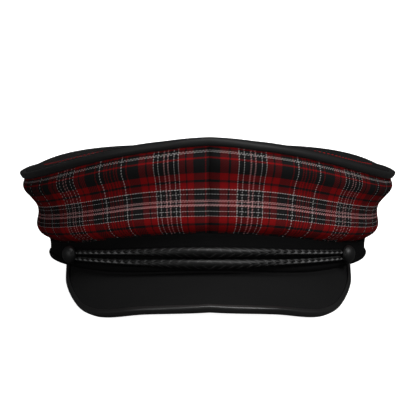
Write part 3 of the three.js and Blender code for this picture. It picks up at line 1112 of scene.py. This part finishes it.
@dataclass
class HeadBand(CapPart):
    """The black cloth band with its rolled lower edge.

    Each row of its profile is a step, its share of the hem, its share of the rise above it, and how far it
    stands out from the band's face.
    """

    finish: BlackClothFinish
    stations: int = 320
    rows: int = 48
    profile: Table = (
        (0, 0.0, 0.0, -0.9), (1, 0.06, 0.0, -0.2), (2, 0.25, 0.0, 0.4), (3, 0.6, 0.0, 0.8),
        (4, 0.85, 0.0, 0.55), (5, 1.0, 0.0, 0.15), (6, 1.0, 0.06, -0.15), (7, 1.0, 0.2, -0.2),
        (8, 1.0, 0.4, -0.2), (9, 1.0, 0.6, -0.1), (10, 1.0, 0.8, 0.1), (11, 1.0, 0.94, 0.4),
        (12, 1.0, 1.0, 0.3),
    )

    def build(self) -> None:
        """Makes the band."""
        angle = np.linspace(-HALF_TURN, HALF_TURN, self.stations + 1)[:, None]
        at = np.linspace(0, self.profile[-1][0], self.rows)
        hem, rise, out = (read_table(self.profile, column, at)[None, :] for column in (1, 2, 3))
        bottom = self.form.band_bottom(angle)
        above = self.form.band_top(angle) - bottom - self.form.band_hem
        z = bottom + self.form.band_hem * np.clip(hem, 0, 1) + above * np.clip(rise, 0, 1)
        outer = self.form.round_head(angle, out, z)
        inner = self.form.round_head(angle, -self.form.band_thickness, z)
        maps = {"weave": shell_uv(np.stack([self.form.around(angle) + 0 * z, z], axis=-1), False)}
        loops = shell(outer, inner, False)[:-1]
        cloth = self.finish.material()
        self.add("cloth_band", "black_cloth", "head_band", cloth, loops, closed_along=True, uv_maps=maps)


@dataclass
class Peak(CapPart):
    """The drooping leather peak and the strip folded round its outer edge.

    A row of its edge is the turn from the middle in degrees, the share of the half width, and the millimetres
    that it lies below the band's lower edge.
    """

    leather: LeatherFinish
    strip: LeatherFinish
    board: float = 1.6
    root_half_angle: float = 60.3
    root_out: float = -1.5
    root_drop: float = 1.6
    tip_drop: float = -2.0
    tip_power: int = 6
    tucked: float = 1.5
    reach: float = 136.0
    bow: float = 1.2
    leather_thickness: float = 1.0
    overlap: float = 1.6
    tip_overlap: float = 0.4
    overlap_share: float = 0.5
    leg_end: float = 0.12
    stations: int = 240
    rows: int = 40
    bend_points: int = 21
    leg_points: int = 6
    crowding: float = 0.35
    slope_step: float = 0.01
    slope_reach: float = 0.97
    edge: Table = (
        (0, 0.0, 12.2), (26, 0.45, 14.5), (44, 0.714, 18.3), (54, 0.827, 18.8),
        (65, 0.92, 16.5), (80, 0.999, 8.8), (90, 1.006, 0.2),
    )

    @property
    def hollow(self) -> float:
        """Half the height of the hollow inside the folded strip."""
        return self.board / 2 + self.form.clearance

    def middle(self, across: Array, down: Array) -> Array:
        """Middle of the board, across -1 to 1 and down 0 at the root to 1 at the edge."""
        form = self.form
        root_angle = across * math.radians(self.root_half_angle)
        drop = self.root_drop + self.tip_drop * across**self.tip_power
        root = form.round_head(root_angle, self.root_out, form.band_bottom(root_angle) - drop)
        tip = form.round_head(np.array(math.radians(self.root_half_angle)), self.root_out, 0.0)
        turn = np.abs(across) * 90
        edge = np.stack([
            tip[0] * np.sign(across) * read_table(self.edge, 1, turn),
            tip[1] - (self.reach + tip[1]) * np.cos(np.radians(turn)),
            -read_table(self.edge, 2, turn),
        ], axis=-1)
        points = root + (edge - root) * down[..., None]
        points[..., 2] += self.bow * 4 * down * (1 - down) * np.cos(np.radians(turn))
        return points

    def frame(self, across: Array, down: Array) -> tuple[Array, Array]:
        """Unit directions square to the upper face, and outward along the slope."""
        step = self.slope_step
        near = np.clip(across, -self.slope_reach, self.slope_reach)
        along = self.middle(near + step, down) - self.middle(near - step, down)
        slope = self.middle(near, np.minimum(down + step, 1)) - self.middle(near, np.maximum(down - step, 0))
        face = unit(np.cross(slope, along))
        return face, np.cross(unit(along), face)

    def across(self) -> Array:
        """Stations from tip to tip, closer together at the tips."""
        t = np.linspace(-1, 1, self.stations)
        return np.sin(t * QUARTER_TURN) * self.crowding + t * (1 - self.crowding)

    def board_piece(self) -> None:
        """Makes the board."""
        across, down = np.broadcast_arrays(self.across()[:, None], np.linspace(1, 0, self.rows)[None, :])
        middle = self.middle(across, down)
        face, _ = self.frame(across, down)
        tuck = self.form.round_head(self.across() * math.radians(self.root_half_angle), self.root_out, 0.0)
        tuck[:, 2] = middle[:, -1, 2] + self.root_drop + self.tucked
        middle = np.concatenate([middle, tuck[:, None]], axis=1)
        sideways = tuck * [1, 1, 0] / np.linalg.norm(tuck[:, :2], axis=-1, keepdims=True)
        face = np.concatenate([face, sideways[:, None]], axis=1)
        loops = shell(middle + face * self.board / 2, middle - face * self.board / 2, True)
        self.add("peak_board", "black_leather", "peak", self.leather.material(), loops)

    def section(self, overlap: Array, depth: float) -> Array:
        """Outline of one face of the folded strip.

        Args:
            overlap: How far the strip reaches in from the edge, by station.
            depth: Half the height of the fold.

        Returns:
            Stations by points of (out, up).
        """
        start = self.form.clearance / 2
        nose = self.form.clearance + depth - self.hollow
        turn = np.linspace(-QUARTER_TURN, QUARTER_TURN, self.bend_points)
        bend = arc((start, 0.0), (nose - start, depth), turn)
        leg = -np.linspace(1, self.leg_end, self.leg_points) * overlap[:, None]
        low = np.stack([leg, np.full_like(leg, -depth)], axis=-1)
        high = low[:, ::-1] * [1, -1]
        return np.concatenate([low, np.broadcast_to(bend, (len(overlap), *bend.shape)), high], axis=1)

    def strip_piece(self) -> None:
        """Makes the folded strip."""
        across = self.across()
        edge = self.middle(across, np.ones_like(across))
        width = np.linalg.norm(edge - self.middle(across, np.zeros_like(across)), axis=-1)
        overlap = np.minimum(self.overlap, self.tip_overlap + width * self.overlap_share)
        face, outward = self.frame(across, np.ones_like(across))

        def skin(depth: float) -> Array:
            """One face of the strip."""
            shape = self.section(overlap, depth)
            return edge[:, None] + outward[:, None] * shape[..., :1] + face[:, None] * shape[..., 1:]

        loops = shell(skin(self.hollow + self.leather_thickness), skin(self.hollow), True)
        self.add("peak_edge_strip", "black_leather", "peak_binding", self.strip.material(), loops)

    def build(self) -> None:
        """Makes the board and its strip."""
        self.board_piece()
        self.strip_piece()


@dataclass(frozen=True)
class CordPath:
    """Where one cord runs, in heights above the band's lower edge and radii."""

    name: str
    node: str
    middle: float
    end: float
    middle_radius: float
    end_radius: float


@dataclass
class ChinCords(CapPart):
    """The two plaited cords across the front of the band, worked as two families of slanting strands.

    Pitch, relief and strand power are given at a cord's middle and at its ends, start for the upper and for
    the lower strands, and bead turns at a bead's foot and at its tip.
    """

    finish: YarnFinish
    end_angle: float = 52.3
    taper_power: float = 4.0
    standoff: float = 0.4
    meeting_deg: float = 6.0
    slant: float = 1.1
    pitch: Pair = (4.8, 4.5)
    start: Pair = (0.46, 0.18)
    relief: Pair = (0.025, 0.55)
    strand_power: Pair = (5.0, 2.0)
    weave_in: float = 0.36
    # Highlights painted on the strands' tips, in the colour only: the table below gives how strongly by share
    # along the cord from middle to end, and the bead settings give their place and shape.
    bead_highlight_by_share: Table = ((0, 0), (0.4, 0.1), (0.55, 0.6), (0.7, 1), (1, 1))
    bead_start: float = 0.28
    bead_width: float = 0.85
    bead_turns: Pair = (-0.45, 0.75)
    bead_fade: float = 0.35
    stations: int = 900
    sides: int = 60
    paths: tuple[CordPath, ...] = (
        CordPath("plaited_cord_upper", "chin_cord_upper", 13.6, 8.75, 2.95, 1.6),
        CordPath("plaited_cord_lower", "chin_cord_lower", 7.35, 5.45, 2.95, 1.6),
    )

    @staticmethod
    def between(values: Pair, swell: Array) -> Array:
        """A value that runs from the second of a pair at the cord's ends to the first at its middle."""
        return values[1] + (values[0] - values[1]) * swell

    @staticmethod
    def swell(share: Array) -> Array:
        """1 at the cord's middle and 0 at its ends."""
        return np.cos(share * QUARTER_TURN)

    def centre(self, path: CordPath, share: Array) -> tuple[Array, Array]:
        """Centre line and radius of a cord, share -1 to 1 from button to button."""
        angle = share * math.radians(self.end_angle)
        swell = self.swell(share)
        radius = self.between((path.middle_radius, path.end_radius), swell**self.taper_power)
        height = self.between((path.middle, path.end), swell)
        return self.form.round_head(angle, self.standoff + radius, height), radius

    def plait(self, phase: Array, lean: Array, turn: Array, power: Array) -> tuple[Array, Array]:
        """Height of the plait's surface and how far inside its edges the strand on top is met.

        Args:
            phase: Strands counted along the cord from its middle.
            lean: Strands that the slant passes for each radian round the cord.
            turn: Radians from the line where the upper and the lower strands meet.
            power: How flat the strands are pressed.

        Returns:
            Height from 0 to 1, and 0 at the strand's edges to 1 along its middle.
        """
        upper = (phase + lean * turn + self.start[0]) % 1
        lower = (phase - lean * turn + self.start[1]) % 1

        def strand(share: Array, inside: Array) -> Array:
            """Rounded height of a strand that dives where it passes under the others."""
            rise = np.clip((inside + self.weave_in) / (2 * self.weave_in), 0, 1)
            return (1 - np.abs(2 * share - 1) ** power) * rise * (2 - rise)

        back = HALF_TURN - np.abs(turn)
        high = strand(upper, np.where(turn > 0, np.minimum(turn, back), turn))
        low = strand(lower, np.where(turn < 0, np.minimum(-turn, back), -turn))
        across = np.where(high >= low, upper, lower)
        return np.maximum(high, low), 1 - np.abs(2 * across - 1)

    def bead(self, phase: Array, turn: Array) -> Array:
        """Strength of the highlight painted on the strands' tips, 0 to 1, in a row of triangles where the
        strands cross.
        """
        foot, tip = self.bead_turns
        across = np.abs(2 * ((phase + self.bead_start) % 1) - 1)
        inside = (tip - turn) / (tip - foot) - across / self.bead_width
        return np.where(turn > foot, np.clip(inside / self.bead_fade, 0, 1), 0)

    def cord(self, path: CordPath, material: Material) -> None:
        """Makes one cord.

        Args:
            path: Where the cord runs.
            material: The yarn.
        """
        share = np.linspace(-1, 1, self.stations)
        centre, radius = self.centre(path, share)
        steps = np.linalg.norm(np.diff(centre, axis=0), axis=1)
        swell = self.swell(share)
        pitch = self.between(self.pitch, swell)
        count = np.concatenate([[0], np.cumsum(steps * (1 / pitch[1:] + 1 / pitch[:-1]) / 2)])
        phase = np.abs(count - count[-1] / 2)[:, None]
        turn = ring_turns(self.sides, -HALF_TURN)[None, :]
        lean = (self.slant * radius / pitch)[:, None]
        full = (swell**2)[:, None]
        height, inside = self.plait(phase, lean, turn, self.between(self.strand_power, full))
        relief = self.between(self.relief, full)
        reach = radius[:, None] * (1 - relief + relief * height)
        side, up = square_to(centre)
        ways = spokes(turn + math.radians(self.meeting_deg), side[:, None], up[:, None])
        tube = centre[:, None] + reach[..., None] * ways
        first, last = (np.broadcast_to(point, tube[:1].shape) for point in (centre[0], centre[-1]))
        # The weave map carries painted highlights: the tip highlight in X, and in Y the distance from the
        # strand's edge, where a glint is painted.
        highlight_share = read_table(self.bead_highlight_by_share, 1, np.abs(share))[:, None]
        weave = np.stack([highlight_share * self.bead(phase, turn), inside], axis=-1)
        weave = np.concatenate([weave[:1], weave, weave[-1:]], axis=0)
        maps = {"weave": np.concatenate([weave, weave[:, :1]], axis=1)}
        loops = np.concatenate([first, tube, last])
        self.add(path.name, "black_braid", path.node, material, loops, uv_maps=maps)

    def build(self) -> None:
        """Makes both cords."""
        material = self.finish.material()
        for path in self.paths:
            self.cord(path, material)


@dataclass(frozen=True)
class ButtonPlace:
    """Where one button stands and how far it leans forward, in degrees."""

    name: str
    node: str
    angle: float
    lean: float


@dataclass
class Buttons(CapPart):
    """The two domed buttons with their shanks."""

    finish: EnamelFinish
    height: float = 7.5
    radius: float = 4.8
    dome: float = 3.6
    skirt: float = 0.8
    base: float = 4.0
    lip: float = 0.45
    shank_radius: float = 1.4
    shank_start: float = 0.3
    shank_bevel: float = 0.1
    shank_narrowing: float = 0.95
    shank_flare: float = 0.25
    sides: int = 72
    dome_points: int = 22
    lip_points: int = 7
    places: tuple[ButtonPlace, ...] = (
        ButtonPlace("domed_button_right", "button_right", -54.2, 8.0),
        ButtonPlace("domed_button_left", "button_left", 54.2, 0.0),
    )

    def profile(self) -> Array:
        """Half outline of a button: radius and distance from the band's face."""
        turn = np.linspace(0, QUARTER_TURN, self.dome_points)
        dome = arc((0.0, self.base + self.skirt), (self.radius, self.dome), turn)
        dome[-1, 0] = 0
        roll = np.linspace(-QUARTER_TURN, 0, self.lip_points)
        rolled = arc((self.radius - self.lip, self.base + self.lip), (self.lip, self.lip), roll)
        shank, start, flare = self.shank_radius, self.shank_start, self.shank_flare
        foot = [
            (0, start), (shank * self.shank_narrowing, start), (shank, start + self.shank_bevel),
            (shank, self.base - flare), (shank + flare, self.base),
        ]
        return np.concatenate([np.array(foot), rolled, dome])

    def build(self) -> None:
        """Makes both buttons."""
        material = self.finish.material()
        profile = self.profile()
        for place in self.places:
            angle = math.radians(place.angle)
            outward = self.form.outward(angle)
            outward.rotate(Matrix.Rotation(math.copysign(math.radians(place.lean), -place.angle), 3, "Z"))
            ring = spokes(ring_turns(self.sides), np.cross(UP, outward), UP)
            foot = self.form.round_head(np.array(angle), 0.0, self.height)
            points = foot + profile[None, :, :1] * ring[:, None] + profile[None, :, 1:] * np.array(outward)
            closing = {"closed_along": True, "closed_round": False}
            self.add(place.name, "black_enamel", place.node, material, points, **closing)


@dataclass(frozen=True)
class SoftLight:
    """A square soft light: its place and side in metres, its power in watts, and whether gloss shows it."""

    name: str
    place: Point
    side: float
    power: float
    shines: bool = True


@dataclass
class Studio:
    """The photograph's view, a pale floor with its backdrop, and soft lights."""

    form: CapForm
    pixels: int = 420
    focal_pixels: float = 3000.0
    scale: float = 0.5623
    elevation: float = 6.0
    yaw: float = 0.54
    axis_pixel: float = 207.6
    aim_height: float = 25.1
    sensor: float = 36.0
    clip: Pair = (0.05, 50.0)
    lit_point: Point = (0.0, 0.0, 0.05)
    paper_glow: float = 0.95
    paper_white: float = 0.9
    paper_dim: float = 0.06
    paper_rough: float = 0.9
    floor_reach: float = 4.0
    backdrop_bend: float = 1.5
    bend_points: int = 24
    floor_half_width: float = 7.0
    surround: float = 0.06
    lamps: tuple[SoftLight, ...] = (
        SoftLight("key_light", (1.0, -1.0, 1.25), 0.6, 21.0),
        SoftLight("top_light", (0.05, -0.5, 1.7), 0.7, 17.0),
        SoftLight("fill_light", (-1.2, -1.2, 0.6), 0.8, 5.0),
        SoftLight("front_light", (0.4, -1.9, 0.3), 0.7, 14.5, False),
        SoftLight("back_light", (-0.3, 1.9, 0.45), 0.8, 16.0, False),
    )

    def camera(self) -> None:
        """Sets the camera where the photograph was taken from, in the cap's own frame."""
        elevation, yaw = math.radians(self.elevation), math.radians(self.yaw)
        level = math.cos(elevation)
        back = Vector((-math.sin(yaw) * level, -math.cos(yaw) * level, math.sin(elevation)))
        right = (-back).cross(Vector((0, 0, 1))).normalized()
        up = right.cross(-back)
        aim = Vector((0, 0, self.aim_height)) + right * (self.pixels / 2 - self.axis_pixel) * self.scale
        eye = aim + back * self.focal_pixels * self.scale
        turn = Matrix((right, up, back)).transposed().to_4x4()
        lens = bpy.data.cameras.new("photo_view")
        lens.sensor_width = self.sensor
        lens.lens = self.focal_pixels / self.pixels * self.sensor
        lens.clip_start, lens.clip_end = self.clip
        camera = bpy.data.objects.new("photo_view", lens)
        placed = self.form.lying() @ Matrix.Translation(eye) @ turn
        placed.translation *= MM
        camera.matrix_world = placed
        bpy.context.scene.collection.objects.link(camera)
        bpy.context.scene.camera = camera

    def paper(self) -> Material:
        """Paper that the camera sees evenly lit, and that throws little light back on the cap."""
        material = bpy.data.materials.new("pale_paper")
        material.use_nodes = True
        tree = NodeTree(material.node_tree)
        bright = material.node_tree.nodes["Principled BSDF"]
        set_inputs(
            bright, Base_Color=(*[self.paper_white] * 3, 1), Roughness=self.paper_rough,
            Specular_IOR_Level=0.0, Emission_Color=(1, 1, 1, 1), Emission_Strength=self.paper_glow,
        )
        dim = tree.node("ShaderNodeBsdfDiffuse")
        set_inputs(dim, Color=(*[self.paper_dim] * 3, 1))
        choice = tree.node("ShaderNodeMixShader")
        tree.link(tree.node("ShaderNodeLightPath").outputs["Is Camera Ray"], choice.inputs[0])
        tree.link(dim.outputs[0], choice.inputs[1])
        tree.link(bright.outputs[0], choice.inputs[2])
        tree.link(choice.outputs[0], material.node_tree.nodes["Material Output"].inputs["Surface"])
        return material

    def floor(self) -> None:
        """Makes the floor, which curves up into a backdrop."""
        reach, bend, half = self.floor_reach, self.backdrop_bend, self.floor_half_width
        rise = arc((reach, bend), (bend, bend), np.linspace(-QUARTER_TURN, 0, self.bend_points))
        curve = [(-half, 0.0), *rise, (reach + bend, half)]
        points = np.array([[(x, y, z) for x in (-half, half)] for y, z in curve])
        Loft(points, closed_round=False).build("paper_floor", self.paper())

    def lights(self) -> None:
        """Adds the lights and the even surround."""
        for lamp in self.lamps:
            light = bpy.data.lights.new(lamp.name, "AREA")
            light.energy = lamp.power
            light.size = lamp.side
            made = bpy.data.objects.new(lamp.name, light)
            made.location = lamp.place
            made.visible_glossy = lamp.shines
            toward = Vector(self.lit_point) - Vector(lamp.place)
            made.rotation_euler = toward.to_track_quat("-Z", "Y").to_euler()
            bpy.context.scene.collection.objects.link(made)
        world = bpy.data.worlds.new("even_surround")
        bpy.context.scene.world = world
        world.use_nodes = True
        tree = NodeTree(world.node_tree)
        seen = tree.node("ShaderNodeLightPath").outputs["Is Camera Ray"]
        sky = world.node_tree.nodes["Background"]
        set_inputs(sky, Color=(1, 1, 1, 1))
        tree.link(tree.remap(seen, WHOLE, (self.surround, 1.0)), sky.inputs["Strength"])
        bpy.context.scene.view_settings.view_transform = "Standard"

    def build(self) -> None:
        """Makes the whole studio."""
        self.camera()
        self.floor()
        self.lights()


def main() -> None:
    """Builds the cap's pieces in order."""
    logging.basicConfig(level=logging.INFO, format="%(name)s %(message)s")
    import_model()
    form = CapForm()
    Studio(form).build()
    effects = EffectLibrary()
    red_thread = YarnFinish(
        "red_thread", effects, colour=(0.26, 0.008, 0.01, 1), tip_highlight_colour=(0.26, 0.008, 0.01, 1),
        rough=(0.7, 0.82), specular=0.1,
    )
    SideWall(form, TartanFinish("tartan_twill", effects)).build()
    CrownTop(form, BlackClothFinish("crown_cloth", effects), red_thread).build()
    Piping(form, LeatherFinish("piping_leather", effects)).build()
    # The band cloth's lighter rib colour is a highlight painted on the rib crests.
    band_cloth = BlackClothFinish(
        "band_cloth", effects, colour=(0.0032, 0.0032, 0.0033, 1), rib_highlight_colour=(0.005, 0.005, 0.0051, 1),
        pitch=0.6, specular=0.03,
    )
    HeadBand(form, band_cloth).build()
    peak_leather = LeatherFinish(
        "peak_leather", effects, colour=(0.007, 0.007, 0.0071, 1), rubbed=(0.009, 0.009, 0.009, 1),
        rough=(0.6, 0.7), specular=0.015,
    )
    strip_leather = LeatherFinish(
        "strip_leather", effects, colour=(0.005, 0.005, 0.005, 1), rubbed=(0.008, 0.008, 0.008, 1),
        rough=(0.32, 0.4), specular=0.7,
    )
    Peak(form, peak_leather, strip_leather).build()
    ChinCords(form, YarnFinish("cord_yarn", effects)).build()
    Buttons(form, EnamelFinish("button_enamel", effects)).build()
    bpy.context.view_layer.update()


if __name__ == "__main__":
    main()
